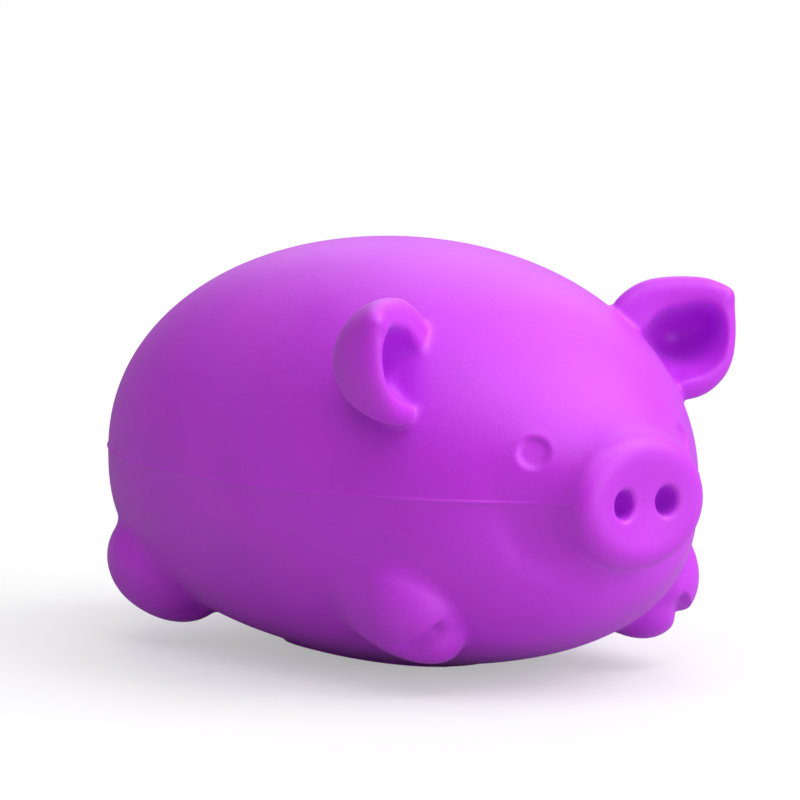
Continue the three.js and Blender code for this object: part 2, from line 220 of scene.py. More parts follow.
def wrapped_piece(name, field, low, high, step=0.2):
    """A closed piece round the inside of a field. A block of small cubes is laid over the field. Each
    cube whose corners don't all lie on one side gets one point, the mean of the places where the field
    crosses the cube's edges, and each crossed edge gets a face between the four cubes round it."""
    axes = [np.arange(a, b, step) for a, b in zip(low, high)]
    values = field(np.stack(np.meshgrid(*axes, indexing="ij"), axis=-1))
    cubes = tuple(size - 1 for size in values.shape)
    count, total = np.zeros(cubes), np.zeros((*cubes, 3))
    faces = []
    for axis in range(3):
        near, far = np.delete(values, -1, axis), np.delete(values, 0, axis)
        edges = np.argwhere((near < 0) != (far < 0))
        a, b = near[tuple(edges.T)], far[tuple(edges.T)]
        crossing = edges.astype(float)
        crossing[:, axis] += a / (a - b)
        one, two = np.eye(3, dtype=int)[[(axis + 1) % 3, (axis + 2) % 3]]
        around = [edges, edges - one, edges - one - two, edges - two]
        for cube in around:
            np.add.at(total, tuple(cube.T), crossing)
            np.add.at(count, tuple(cube.T), 1)
        square = np.stack([np.ravel_multi_index(tuple(cube.T), cubes) for cube in around], axis=1)
        faces.append(np.where((a < 0)[:, None], square, square[:, ::-1]))
    used = np.flatnonzero(count)
    number = np.full(count.size, -1)
    number[used] = np.arange(len(used))
    points = total.reshape(-1, 3)[used] / count.ravel()[used, None] * step + np.array(low)
    points = settle(field, points, most=0.4 * step)
    return make_piece(name, points, number[np.concatenate(faces)], np.empty((0, 3), int))


def crowded(low, high, count, places):
    """Values from low to high that lie closer together near some places. Each place is a middle, a
    width and how many times closer: a bell curve for each is added to 1, and the running total of
    that sum is shared out evenly."""
    fine = np.linspace(low, high, 4000)
    weight = 1 + sum(more * bell((fine - middle) / width) for middle, width, more in places)
    total = np.concatenate([[0], np.cumsum((weight[1:] + weight[:-1]) / 2)])
    return np.interp(np.linspace(0, total[-1], count), total, fine)


# %% [markdown]
# ## The body
# The body is an egg-like form, a little wider at the rear and deeper at the chin, and fuller below its
# middle than above. A sphere that is scaled would be too thin in the belly, so the formula is that of
# an ellipsoid with its power raised below the middle.

# %% The body's field
def girth(y):
    """The half width at a place along the body, and how deep the body goes there below its middle."""
    width = HALF_WIDTH * (1 + REAR_WIDENING * y / HALF_LENGTH)
    below = DEPTH * (1 - CHIN_DEEPENING * y / HALF_LENGTH)
    return width, below


def body_level(points):
    """The shares of the three half sizes, each raised to a power, added up. The root of that sum less
    1 is zero on the body."""
    x, y, z = np.moveaxis(points, -1, 0)
    width, below = girth(y)
    upright = np.where(z > 0, np.abs(z / TOP) ** FULLNESS, np.abs(z / below) ** BELLY_FULLNESS)
    total = np.abs(x / width) ** FULLNESS + np.abs(y / HALF_LENGTH) ** FULLNESS + upright
    return total ** (1 / FULLNESS) - 1


def body(points):
    """The distance outside the plain body: the level divided by its slope, which here is written out
    as a formula, because this field is asked for most often."""
    x, y, z = np.moveaxis(np.abs(points), -1, 0)
    width, below = girth(points[..., 1])
    above = points[..., 2] > 0
    height, power = np.where(above, TOP, below), np.where(above, FULLNESS, BELLY_FULLNESS)
    x_share, y_share, z_share = x / width, y / HALF_LENGTH, z / height
    x_part, y_part = x_share ** (FULLNESS - 1), y_share ** (FULLNESS - 1)
    z_part = z_share ** (power - 1)
    total = np.maximum(x_part * x_share + y_part * y_share + z_part * z_share, 1e-9)
    z_slope = z_part * power / FULLNESS / height
    steep = np.sqrt((x_part / width) ** 2 + (y_part / HALF_LENGTH) ** 2 + z_slope**2)
    return (total - total ** (1 - 1 / FULLNESS)) / np.maximum(steep, 1e-6)


def body_point(turn, lift):
    """The point of the plain body at a turn about the upright axis and a height angle: the cosines and
    sines of a sphere, each raised to 2 divided by the body's power."""
    def powered(value, power):
        """The value's size raised to a power, with its sign kept."""
        return np.sign(value) * np.abs(value) ** power

    power = 2 / FULLNESS
    y = HALF_LENGTH * powered(np.cos(lift) * np.sin(turn), power)
    width, below = girth(y)
    x = width * powered(np.cos(lift) * np.cos(turn), power)
    upper_z = TOP * powered(np.sin(lift), power)
    lower_z = below * powered(np.sin(lift), 2 / BELLY_FULLNESS)
    return np.stack([x, y, np.where(lift > 0, upper_z, lower_z)], axis=-1)


print("the field 1 mm over the top says", body(np.array([0, 0, TOP + 1])).round(3))

# %% [markdown]
# ## The snout
# The snout is a short oval barrel with a slightly dished front, a rounded rim and two nostrils. Its
# root flows into the face so gently that the face swells around it, and the eyes sit on that swell.
# The fillet therefore belongs to skin and snout alike: both meshes follow one field, the head, and
# each dips under the other a little past the line where they meet.

# %% The snout's field, and the head that it makes with the body
SNOUT_HALF_WIDTH, SNOUT_HALF_HEIGHT, SNOUT_FRONT, SNOUT_RISE = 9.3, 7.95, 49.0, 0.6
SNOUT_RIM, SNOUT_DISH, DISH_SHARE, SNOUT_ROOT, ROOT_ROUNDING = 2.6, 0.5, 0.8, 9.0, 1.0
SNOUT_FLARE, SIDE_FLARE, FLARE_POWER = 1.2, 1.2, 1.5
NOSTRIL_SIDE, NOSTRIL_INSET, NOSTRIL_ROUNDING = 3.05, 0.5, 0.75
NOSTRIL_SIZE = (1.42, 4.6, 1.7)
CHIN_FILLET, BROW_FILLET, CHIN_HEIGHT, CHIN_TO_BROW = 1.3, 6.0, -4.0, 13.0
GROOVE_DEPTH, GROOVE_AWAY, GROOVE_WIDTH, GROOVE_TOP, GROOVE_FADE = 0.8, 1.2, 2.0, 2.0, 7.0


def ellipsoid(points, centre, sizes):
    """Near enough the distance outside an ellipsoid: with k the length of the point's shares of the
    sizes, and m that of its shares of their squares, k times k less 1, divided by m."""
    offset = points - np.asarray(centre)
    sizes = np.asarray(sizes, float)
    k, m = length(offset / sizes), length(offset / sizes**2)
    return k * (k - 1) / np.maximum(m, 1e-6)


def snout(points):
    """An oval barrel that flares towards the face, most of all sideways, cut by its dished front and
    by its root, less the two nostrils."""
    x, y, z = np.moveaxis(points, -1, 0)
    back = y + SNOUT_FRONT
    flat = np.stack([x, np.zeros_like(x), z - SNOUT_RISE], axis=-1)
    side = ellipsoid(flat, (0, 0, 0), (SNOUT_HALF_WIDTH, 1, SNOUT_HALF_HEIGHT))
    sideways = x**2 / np.maximum(x**2 + (z - SNOUT_RISE) ** 2, 0.01)
    flare = SNOUT_FLARE + SIDE_FLARE * sideways
    rootwards = np.clip((back - SNOUT_RIM) / (SNOUT_ROOT - SNOUT_RIM), 0, 1)
    side = side - flare * rootwards**FLARE_POWER
    share = np.hypot(x / SNOUT_HALF_WIDTH, (z - SNOUT_RISE) / SNOUT_HALF_HEIGHT)
    front = -back + SNOUT_DISH * soft_step(1 - share / DISH_SHARE)
    barrel = soft_max(side, front, 1.17 * SNOUT_RIM)
    barrel = soft_max(barrel, back - SNOUT_ROOT, ROOT_ROUNDING)
    for hand in (-1, 1):
        middle = (hand * NOSTRIL_SIDE, NOSTRIL_INSET - SNOUT_FRONT, SNOUT_RISE)
        barrel = soft_max(barrel, -ellipsoid(points, middle, NOSTRIL_SIZE), NOSTRIL_ROUNDING)
    return barrel


def head(points):
    """Body and snout under one soft fillet, which is tight under the chin and wide at the brow. Under
    the chin the body is sunk a little along a groove round the barrel."""
    barrel, z = snout(points), points[..., 2]
    wide = soft_step((z - CHIN_HEIGHT) / CHIN_TO_BROW)
    groove = GROOVE_DEPTH * bell((barrel - GROOVE_AWAY) / GROOVE_WIDTH)
    groove = groove * soft_step((GROOVE_TOP - z) / GROOVE_FADE)
    return soft_min(body(points) + groove, barrel, CHIN_FILLET + (BROW_FILLET - CHIN_FILLET) * wide)


print("the snout reaches", SNOUT_FRONT - HALF_LENGTH, "mm past the body")

# %% [markdown]
# ## Eyes, parting line and belly pad
# These are shallow marks of the mould, so they are added to the skin as heights: each is a function of
# the distance from an eye, from the parting plane or from the middle of the belly.

# %% Where the eyes are, and how the skin rises and falls
EYE_SIDE, EYE_RISE, EYE_RADIUS, EYE_HOLLOW_RADIUS = 10.9, 6.6, 1.7, 3.3
EYE_HOLLOW_DEPTH, DISC_DEPTH, DISC_EDGE = 0.28, 0.3, 0.5
EYE_LIP_HEIGHT, EYE_LIP_WIDTH = 0.12, 0.45
BEAD_HEIGHT, BEAD_WIDTH, BEAD_END, PAD_EDGE = 0.15, 0.2, 1.5, 0.7


def eye_centres():
    """Where the head's surface is met straight ahead of two points inside it."""
    starts = np.array([[hand * EYE_SIDE, -30.0, EYE_RISE] for hand in (-1, 1)])
    ahead = np.broadcast_to([0.0, -1.0, 0.0], starts.shape)
    return starts + reach_along(head, starts, ahead, 22)[:, None] * ahead


EYES = eye_centres()


def eye_height(points):
    """A shallow round hollow with a pressed disc in its middle, and a soft lip round the disc."""
    height = np.zeros(points.shape[:-1])
    for eye in EYES:
        away = length(points - eye)
        hollow = -EYE_HOLLOW_DEPTH * soft_step(1 - away / EYE_HOLLOW_RADIUS)
        disc = -DISC_DEPTH * soft_step((EYE_RADIUS - away) / DISC_EDGE + 0.5)
        lip = EYE_LIP_HEIGHT * bell((away - EYE_RADIUS - DISC_EDGE) / EYE_LIP_WIDTH)
        height = height + hollow + disc + lip
    return height


def bead_height(points):
    """The bead along the parting plane: a bell curve of the height above that plane, which ends at
    the snout's rim."""
    across = bell((points[..., 2] - PARTING_RISE) / BEAD_WIDTH)
    return BEAD_HEIGHT * across * soft_step((points[..., 1] + SNOUT_FRONT - BEAD_END) / BEAD_END)


def mould_height(points):
    """The bead, and the pad under the belly, which ends in a soft step."""
    x, y, z = np.moveaxis(points, -1, 0)
    pad = PAD_RISE * soft_step((PAD_RADIUS - np.hypot(x, y)) / PAD_EDGE + 0.5) * (z < 0)
    return bead_height(points) + pad


print("eyes at", np.round(EYES, 2).tolist())

# %% [markdown]
# ## The skin
# Outer and inner surface, joined through the fill hole in the belly, make a real hollow shell. The
# rows run from the hole up to the top of the back. They crowd together at the parting line and level
# with the eyes, and the columns crowd towards the face, so that small marks get small faces.

# %% The skin's outer and inner surfaces
SEAM, OVERLAP, SEAM_SINKING = 0.9, 0.2, 0.5


def skin_field(points):
    """The head, with the part under the snout sunk by the square of how far it is past the seam."""
    under = np.maximum(SEAM - OVERLAP - snout(points), 0)
    return head(points) + SEAM_SINKING * under**2


FACE_START, MOST_RAISED, MOST_SUNK = -25.0, 8, -1.5


def flattened(points):
    """Nothing goes below the floor: the belly is pressed flat where the toy stands."""
    z = points[..., 2]
    return np.concatenate([points[..., :2], np.maximum(z, FLOOR)[..., None]], axis=-1)


def skin_grid(turns, lifts, inset):
    """Rows of skin points: the plain body, moved along its own normal by what the head's fillet and
    the mould's marks add, or moved in by an inset for the inner surface."""
    plain = body_point(turns[None, :], lifts[:, None])
    normals = unit(slope(body_level, plain))
    if inset:
        return plain - inset * normals
    out = np.zeros(plain.shape[:-1])
    face = plain[..., 1] < FACE_START
    out[face] = reach_along(skin_field, plain[face], normals[face], MOST_RAISED, MOST_SUNK)
    points = plain + out[..., None] * normals
    out = eye_height(points) + mould_height(points)
    return flattened(points + out[..., None] * normals)


def hole_row(turns, radius, z):
    """A round row about the fill hole's axis at one height."""
    return np.stack([radius * np.cos(turns), radius * np.sin(turns), np.full_like(turns, z)], axis=-1)


AROUND, OUTER_ROWS, INNER_ROWS = 372, 190, 46
face_middle = (-0.5 * np.pi, 0.5, 1.6)
turns = crowded(-1.5 * np.pi, 0.5 * np.pi, AROUND + 1, [face_middle])[:-1]
parting, eye_level, pad_edge = (0.036, 0.014, 9), (0.28, 0.14, 1.5), (-1.19, 0.03, 3)
outer_lifts = crowded(-1.47, np.pi / 2, OUTER_ROWS, [parting, eye_level, pad_edge])
outer = skin_grid(turns, outer_lifts, 0)
inner = skin_grid(turns, np.linspace(-1.44, np.pi / 2, INNER_ROWS), SKIN_WALL)
outer[-1], inner[-1] = outer[-1].mean(axis=0), inner[-1].mean(axis=0)
lip = np.stack([
    hole_row(turns, HOLE_RADIUS + 0.25, FLOOR),
    hole_row(turns, HOLE_RADIUS + 0.04, FLOOR + 0.08),
    hole_row(turns, HOLE_RADIUS, FLOOR + 0.3),
    hole_row(turns, HOLE_RADIUS, -DEPTH + SKIN_WALL - 0.05),
    hole_row(turns, HOLE_RADIUS + 0.2, -DEPTH + SKIN_WALL),
])
skin = closed_piece("pig_skin", np.concatenate([outer[::-1], lip, inner]))

# %% [markdown]
# ## The snout's mesh
# The nostrils are deep and the root flares out over the face, so neither rows nor directions from one
# point inside reach every part of the snout. The surface is therefore wrapped round its field, and the
# eyes and the parting bead, which reach onto its root, are raised on it afterwards.

# %% Wrapping the snout
SNOUT_BURIED, CLOSING = 2.4, 2.0


def snout_field(points):
    """The head near the snout. Past the seam it sinks under the skin by the square of the distance,
    and 2.4 mm below the face it is closed."""
    past = np.maximum(snout(points) - SEAM, 0)
    sunk = head(points) + SEAM_SINKING * past**2
    return soft_max(sunk, -SNOUT_BURIED - body(points), CLOSING)


low, high = (-16, -49.95, -13.5), (16, -34.55, 15.5)
snout_piece = wrapped_piece("snout_barrel", snout_field, low, high)
places = np.empty(3 * len(snout_piece.data.vertices))
snout_piece.data.vertices.foreach_get("co", places)
points = places.reshape(-1, 3) / MM - MIDDLE
raised = (eye_height(points) + bead_height(points))[:, None] * unit(slope(head, points))
snout_piece.data.vertices.foreach_set("co", ((points + raised + MIDDLE) * MM).ravel())
snout_piece.data.update()

# %% [markdown]
# ## The feet
# Each foot is two toes, a large outer one and a smaller one under it, melted together. The cleft
# between them starts at once at its upper edge and then runs out softly, and a front foot has a shallow
# dent behind the toe. Every point of a foot can be seen from its middle, so its mesh needs no more than
# directions: the field is followed along each until it turns from inside to outside.

# %% The toes' field
# In millimetres, and the pitch in degrees
FEET = {
    "front": {
        "middle": (0.59 * HALF_WIDTH, -0.508 * HALF_LENGTH, -0.452 * DEPTH), "pitch": 23,
        "outer": (6.8, 10.6, 7.2), "inner": (5.3, 9.3, 4.8), "inner_offset": (-1.9, -0.3, -3.2),
        "cleft_back": (21.25, -27.1, -16.9), "cleft_front": (18.6, -32.7, -14.0),
        "cleft_facing": (0.65, -0.5, -0.57), "cleft_depth": 1.35, "fillet": (0.9, 1.1),
        "dent": (23.5, -24.4, -10.5), "dent_depth": 0.5,
    },
    "rear": {
        "middle": (0.695 * HALF_WIDTH, 0.473 * HALF_LENGTH, -0.547 * DEPTH), "pitch": 9,
        "outer": (6.8, 8.9, 6.8), "inner": (4.9, 7.4, 4.7), "inner_offset": (-1.6, 0.2, -2.7),
        "cleft_back": (24.4, 15.6, -19.0), "cleft_front": (21.2, 12.4, -17.6),
        "cleft_facing": (0.45, -0.6, -0.66), "cleft_depth": 0.9, "fillet": (0.9, 1.3),
    },
}
TOE_JOIN, LIP_WIDTH, CLEFT_WIDTH = 1.5, 0.45, 3.6
CLEFT_LEAD, CLEFT_RISE, CLEFT_STOP, CLEFT_FALL = 0.8, 4.5, 1.2, 2.4
FILLET_LEAD, FILLET_CHANGE, FOOT_ROWS, FOOT_AROUND = 2, 6, 150, 210
DENT_SIZE = np.array([3.0, 2.4, 4.5])
FLUSH_SHARE, SINKING, BURIED = 0.95, 1.4, 2.2


def pitched(points, centre, degrees):
    """Points in the foot's own frame: moved to its centre and turned back about x by its pitch."""
    angle = np.radians(degrees)
    x, y, z = np.moveaxis(points - centre, -1, 0)
    return np.stack([
        x,
        y * np.cos(angle) + z * np.sin(angle),
        z * np.cos(angle) - y * np.sin(angle),
    ], axis=-1)


def cleft(points, foot, mirror):
    """How deep the cleft is: nothing above its upper edge, all at once below it, and then less and
    less. It begins softly at the back and ends softly at the front."""
    back, front = (np.array(foot[end]) * mirror for end in ("cleft_back", "cleft_front"))
    long = length(front - back)
    forward = (front - back) / long
    facing = np.array(foot["cleft_facing"]) * mirror
    facing = unit(facing - (facing @ forward) * forward)
    down = np.cross(facing, forward)
    down = down * -np.sign(down[2])
    offset = points - back
    ahead, below, out = offset @ forward, offset @ down, offset @ facing
    lengthwise = soft_step((ahead + CLEFT_LEAD) / CLEFT_RISE)
    lengthwise = lengthwise * (1 - soft_step((ahead - long + CLEFT_STOP) / CLEFT_FALL))
    across = soft_step(below / LIP_WIDTH + 0.5) * (1 - soft_step(below / CLEFT_WIDTH))
    return foot["cleft_depth"] * lengthwise * across * soft_step(out / 1.5 + 2)


def foot_shape(which, hand):
    """The field of one foot's toes, and its middle."""
    foot = FEET[which]
    mirror = np.array([hand, 1, 1])
    middle = np.array(foot["middle"]) * mirror
    inner_middle = middle + np.array(foot["inner_offset"]) * mirror

    def toes(points):
        """Two ellipsoids under a soft minimum, less the cleft and, on a front foot, the dent."""
        outer = ellipsoid(pitched(points, middle, foot["pitch"]), (0, 0, 0), foot["outer"])
        inner = ellipsoid(pitched(points, inner_middle, foot["pitch"]), (0, 0, 0), foot["inner"])
        both = soft_min(outer, inner, TOE_JOIN) + cleft(points, foot, mirror)
        if "dent" in foot:
            away = length((points - np.array(foot["dent"]) * mirror) / DENT_SIZE)
            both = both + foot["dent_depth"] * bell(away)
        return both

    return toes, middle


def sinking(limb, fillet):
    """How deep a limb's surface sinks under the skin: the square of how far it is past its fillet,
    times a factor. When the limb moves, little then shows of where it ends."""
    past = np.maximum(limb - FLUSH_SHARE * fillet, 0)
    return SINKING * past**2


def ways_from_front(angles, around):
    """Directions whose angle from straight ahead is given row by row, each row once round."""
    tilt = angles[:, None]
    turn = np.linspace(0, 2 * np.pi, around, endpoint=False)[None, :]
    return np.stack([
        np.sin(tilt) * np.cos(turn),
        -np.cos(tilt) * np.ones_like(turn),
        np.sin(tilt) * np.sin(turn),
    ], axis=-1)


def foot_piece(name, which, hand):
    """A foot with its fillet, which is tight below and wide above, cast from its middle."""
    toes, middle = foot_shape(which, hand)
    tight, wide = FEET[which]["fillet"]

    def field(points):
        """Body and toes under the fillet, no deeper than buried, and sunk past the fillet."""
        limb = toes(points)
        above = points[..., 2] - middle[2]
        fillet = tight + (wide - tight) * soft_step((above + FILLET_LEAD) / FILLET_CHANGE)
        joined = np.maximum(soft_min(body(points), limb, fillet), -BURIED)
        return joined + sinking(limb, fillet)

    ways = ways_from_front(crowded(0, np.pi, FOOT_ROWS, [(0.6, 0.5, 1.6)]), FOOT_AROUND)
    rows = middle + reach_along(field, middle, ways, 24)[..., None] * ways
    return closed_piece(name, rows)


feet = {
    f"{which}_{side}": foot_piece(f"{which}_{side}_toes", which, hand)
    for which in FEET
    for side, hand in (("left", 1), ("right", -1))
}

# %% [markdown]
# ## The ears
# An ear is a thick leaf-shaped cup on the slope of the head. Its rim is broad above and rolls over
# into the back, and towards the snout there is no rim at all: there the floor of the cup runs out onto
# the face. No grid of rows follows that well, because rim, cup and face meet in one place, so the ears
# are wrapped, as the snout is.

# %% The ear's outline and field
EAR_CENTRE = (0.678 * HALF_WIDTH, -0.651 * HALF_LENGTH, 0.609 * TOP)
EAR_TURN, EAR_PITCH, EAR_CUP_DEPTH, RIM_ROUNDING = 30, 9, 8.8, 2.9
TIP_LEAN, LOBE_LEAN, TIP_AWAY, LOBE_AWAY = -0.9, -0.2, 11.8, 7.3
BACK_START, BACK_REACH, EAR_FILLET = 0.5, 5, 0.9
LEAF = [
    (6.9, 5.6), (7.0, 3.2), (7.0, -0.2), (6.6, -2.9), (5.4, -5.2), (3.1, -7.1), (0.4, -7.8),
    (-1.4, -6.8), (-2.9, -4.8), (-4.6, -2.8), (-6.8, -1.6), (-8.6, 0.3), (-8.8, 3.0), (-7.1, 5.5),
    (-3.5, 7.3), (2.2, 7.5), (5.2, 6.8),
]
HOLLOW_ROUNDING = 1.0
# Each hollow: its middle, its half sizes along the leaf, its depth and how softly it joins the rest
HOLLOWS = [
    ((0.2, 0.2), (4.1, 3.4), 7.2, 0.1),
    ((3.0, 1.6), (2.0, 2.1), 5.4, 2.4),
    ((0.6, -1.7), (4.1, 3.0), 2.3, 2.6),
    ((-5.4, -3.8), (4.8, 3.8), 3.0, 2.4),
]


def polar_outline(corners):
    """The distance of a closed smooth curve from its middle as a function of the angle. Between two
    corners the curve is the cubic that takes its slope at each from the corners on either side."""
    p1 = np.array(corners, float)
    p0, p2, p3 = np.roll(p1, 1, 0), np.roll(p1, -1, 0), np.roll(p1, -2, 0)
    t = np.linspace(0, 1, 80, endpoint=False)[None, :, None]
    p0, p1, p2, p3 = (p[:, None] for p in (p0, p1, p2, p3))
    curve = 0.5 * (2 * p1 + (p2 - p0) * t + (2 * p0 - 5 * p1 + 4 * p2 - p3) * t**2
                   + (3 * p1 - p0 - 3 * p2 + p3) * t**3)
    curve = curve.reshape(-1, 2)
    angles = np.arctan2(curve[:, 1], curve[:, 0])
    order = np.argsort(angles)
    angles, radii = angles[order], np.hypot(*curve.T)[order]
    return lambda angle: np.interp(angle, angles, radii, period=2 * np.pi)


def rounded_outline(radius, spread):
    """The same curve with its corners taken off: at each angle the mean of the radii up to the spread
    away on either side, which count less the further away they are."""
    angles = np.linspace(-np.pi, np.pi, 361)
    offsets = np.radians(np.linspace(-spread, spread, 31))
    weights = 1 + np.cos(np.pi * np.degrees(offsets) / spread)
    radii = (radius(angles[:, None] + offsets) * weights).sum(axis=1) / weights.sum()
    return lambda angle: np.interp(angle, angles, radii, period=2 * np.pi)


LEAF_RADIUS = polar_outline(LEAF)
ROUND_RADIUS = rounded_outline(LEAF_RADIUS, 60)


def turned(vector, axis, degrees):
    """A vector turned about an axis."""
    return np.array(Matrix.Rotation(np.radians(degrees), 3, Vector(axis)) @ Vector(vector))


def ear_frame(hand):
    """The ear's middle, and the ways out sideways, up and where the cup faces."""
    turn = np.radians(EAR_TURN)
    out = np.array([hand * np.cos(turn), -np.sin(turn), 0])
    facing = turned((-hand * np.sin(turn), -np.cos(turn), 0), out, -hand * EAR_PITCH)
    up = turned((0, 0, 1), out, -hand * EAR_PITCH)
    return np.array([hand * EAR_CENTRE[0], *EAR_CENTRE[1:]]), out, up, facing


def ear_shape(hand):
    """The field of one ear: a dome behind a front with a rounded rim, less four soft hollows."""
    centre, out, up, facing = ear_frame(hand)

    def local(points):
        """Along, up and out of the leaf, which leans forward by squares at its tip and its lobe."""
        offset = points - centre
        u, v, w = offset @ out, offset @ up, offset @ facing
        tip, lobe = np.maximum(0, (u + v) / TIP_AWAY), np.maximum(0, -v / LOBE_AWAY)
        return u, v, w + TIP_LEAN * tip**2 + LOBE_LEAN * lobe**2

    def dome(points):
        """The share of the outline's radius and the share of the depth give a length, 1 on the dome.
        The outline turns from the leaf's to the round one on the way to the back."""
        u, v, w = local(points)
        angle = np.arctan2(v, u)
        leaf, behind = LEAF_RADIUS(angle), soft_step((-w - BACK_START) / BACK_REACH)
        share = np.hypot(u, v) / (leaf + behind * (ROUND_RADIUS(angle) - leaf))
        return np.hypot(share, np.minimum(w, 0) / EAR_CUP_DEPTH) - 1

    def ear(points):
        """The dome cut off at the leaf with a rounded rim, less the hollows."""
        u, v, w = local(points)
        ear = soft_max(in_millimetres(dome, points), w, RIM_ROUNDING)
        hollow = np.full(u.shape, 99.0)
        for (middle_u, middle_v), sizes, depth, join in HOLLOWS:
            place = np.stack([u - middle_u, v - middle_v, w], axis=-1)
            hollow = soft_min(hollow, ellipsoid(place, (0, 0, 0), (*sizes, depth)), join)
        return soft_max(ear, -hollow, HOLLOW_ROUNDING)

    return ear


print("the leaf's radii out, up and in:", LEAF_RADIUS(np.array([0, np.pi / 2, np.pi])).round(1))

# %% Wrapping the ears
def ear_piece(name, hand):
    """One ear, wrapped in a block that is mirrored with it."""
    ear = ear_shape(hand)

    def field(points):
        """Ear and body under the fillet, closed at the buried depth below the skin."""
        limb, skin = ear(points), body(points)
        joined = soft_min(skin, limb, EAR_FILLET) + sinking(limb, EAR_FILLET)
        return soft_max(joined, -BURIED - skin, CLOSING)

    inner, outer = (8.0, -33.9, 2.55), (29.0, -15.9, 25.05)
    x_ends = sorted((hand * inner[0], hand * outer[0]))
    return wrapped_piece(name, field, (x_ends[0], *inner[1:]), (x_ends[1], *outer[1:]))


ears = {side: ear_piece(f"{side}_ear_cup", hand) for side, hand in (("left", 1), ("right", -1))}

# %% [markdown]
# ## The tail
# The tail is a short curl that gets thinner towards its tip. A tube swept along its path would pinch
# where the path turns at the root, and it would have no fillet there. A row of balls along the path
# makes the same tube as a field, so that the fillet and the wrapping are those of the ears.

# %% The tail's path, field and mesh
TAIL_RISE, CURL_RADIUS, TAIL_ROOT_RADIUS, TAIL_TIP_RADIUS = 0.254 * TOP, 2.9, 2.0, 1.1
TAIL_STAND_OFF, TAIL_REACH, TAIL_CURL = 1.6, 2.35, np.radians(261)
TAIL_BURY, TAIL_FILLET = 5.6, 1.6
rear = reach_along(body_level, np.array([0, 0, TAIL_RISE]), np.array([[0.0, 1.0, 0.0]]), 60)[0]


def tail_path(along):
    """Middles and radii along the tail. For the first share it runs straight back out of the body, and
    then once round most of a circle that drifts backwards."""
    straight = 0.3
    curl = np.clip((along - straight) / (1 - straight), 0, 1)
    angle = -np.pi / 2 + TAIL_CURL * curl
    run = np.clip(along / straight, 0, 1)
    middles = np.stack([
        CURL_RADIUS * np.cos(angle),
        rear - TAIL_BURY + (TAIL_BURY + TAIL_STAND_OFF) * np.sin(run * np.pi / 2)
        + (TAIL_REACH - TAIL_STAND_OFF) * curl,
        TAIL_RISE + CURL_RADIUS * (1 + np.sin(angle)),
    ], axis=-1)
    return middles, TAIL_ROOT_RADIUS + (TAIL_TIP_RADIUS - TAIL_ROOT_RADIUS) * along


def tail(points):
    """The distance outside a row of balls, so close together that they make a tube."""
    nearest = np.full(points.shape[:-1], 99.0)
    for middle, radius in zip(*tail_path(np.linspace(0, 1, 100))):
        nearest = np.minimum(nearest, length(points - middle) - radius)
    return nearest


def tail_field(points):
    """The tail with its fillet, closed at its buried depth below the skin."""
    limb, skin = tail(points), body(points)
    joined = soft_min(skin, limb, TAIL_FILLET) + sinking(limb, TAIL_FILLET)
    return soft_max(joined, -BURIED - skin, CLOSING)


low, high = (-7.0, rear - 5.95, TAIL_RISE - 7.0), (7.0, rear + 5.65, TAIL_RISE + 9.2)
tail_piece = wrapped_piece("curled_tail", tail_field, low, high)

# %% [markdown]
# ## Filling and plug
# Neither shows in the photograph, so both are guessed. The dough fills the skin and keeps the soft
# lumps of something poured, and the plug is a small mushroom whose head lies inside the skin.

# %% The dough and the plug
DOUGH_GAP, DOUGH_DEPTH, LUMP_HEIGHT = 0.35, 0.25, 0.25
DENT_SPARE, DENT_EDGE, DENT_HEIGHT = 1.6, 1.3, 2.3


def dough_rows():
    """The inside of the skin less a small gap, with a dent over the plug and a few soft lumps, which
    are products of sines along the three axes."""
    turns = np.linspace(0, 2 * np.pi, 120, endpoint=False)
    lifts = np.linspace(-np.pi / 2, np.pi / 2, 70)
    rows = skin_grid(turns, lifts, SKIN_WALL + DOUGH_GAP)
    x, y, z = np.moveaxis(rows, -1, 0)
    lumps = LUMP_HEIGHT * np.sin(x / 5.1 + 1) * np.sin(y / 6.3) * np.sin(z / 4.7 + 2)
    rows = rows - (DOUGH_DEPTH + lumps)[..., None] * unit(rows)
    across = np.hypot(rows[..., 0], rows[..., 1])
    dent = soft_step((PLUG_HEAD_RADIUS + DENT_SPARE - across) / DENT_EDGE)
    ceiling = -DEPTH + SKIN_WALL + DENT_HEIGHT
    raised = np.where(rows[..., 2] < 0, np.maximum(rows[..., 2], ceiling), rows[..., 2])
    rows[..., 2] = rows[..., 2] + dent * (raised - rows[..., 2])
    return rows


rows = dough_rows()
rows[0], rows[-1] = rows[0].mean(axis=0), rows[-1].mean(axis=0)
dough = closed_piece("dough_core", rows)

# The plug's profile as pairs of radius and height above the floor, first its stem, then its head
stem = [(0.0, 0.12), (1.1, 0.12), (1.35, 0.05), (2.75, 0.02), (2.95, 0.1), (PLUG_RADIUS, 0.3)]
plug_head = [
    (PLUG_RADIUS, 0.0), (4.55, 0.02), (4.78, 0.2), (4.78, 0.95), (4.5, 1.25), (3.4, 1.38), (0.0, 1.4),
]
head_bottom = -DEPTH + SKIN_WALL + 0.6 - FLOOR
profile = np.array(stem + [(radius, head_bottom + rise) for radius, rise in plug_head])
turn = np.linspace(0, 2 * np.pi, 64, endpoint=False)[None, :]
rows = np.stack([
    profile[:, :1] * np.cos(turn),
    profile[:, :1] * np.sin(turn),
    (profile[:, 1:] + FLOOR) * np.ones_like(turn),
], axis=-1)
plug = closed_piece("fill_plug", rows)

# %% [markdown]
# ## Rubber and dough
# Soft rubber of this kind is matte but not dry: light spreads a little on it, and its colour is deep
# in the shade and milky where the light hits it flat. The moulded surface has a very fine grain, the
# dye is a little uneven, and handling leaves a few dull smudges.

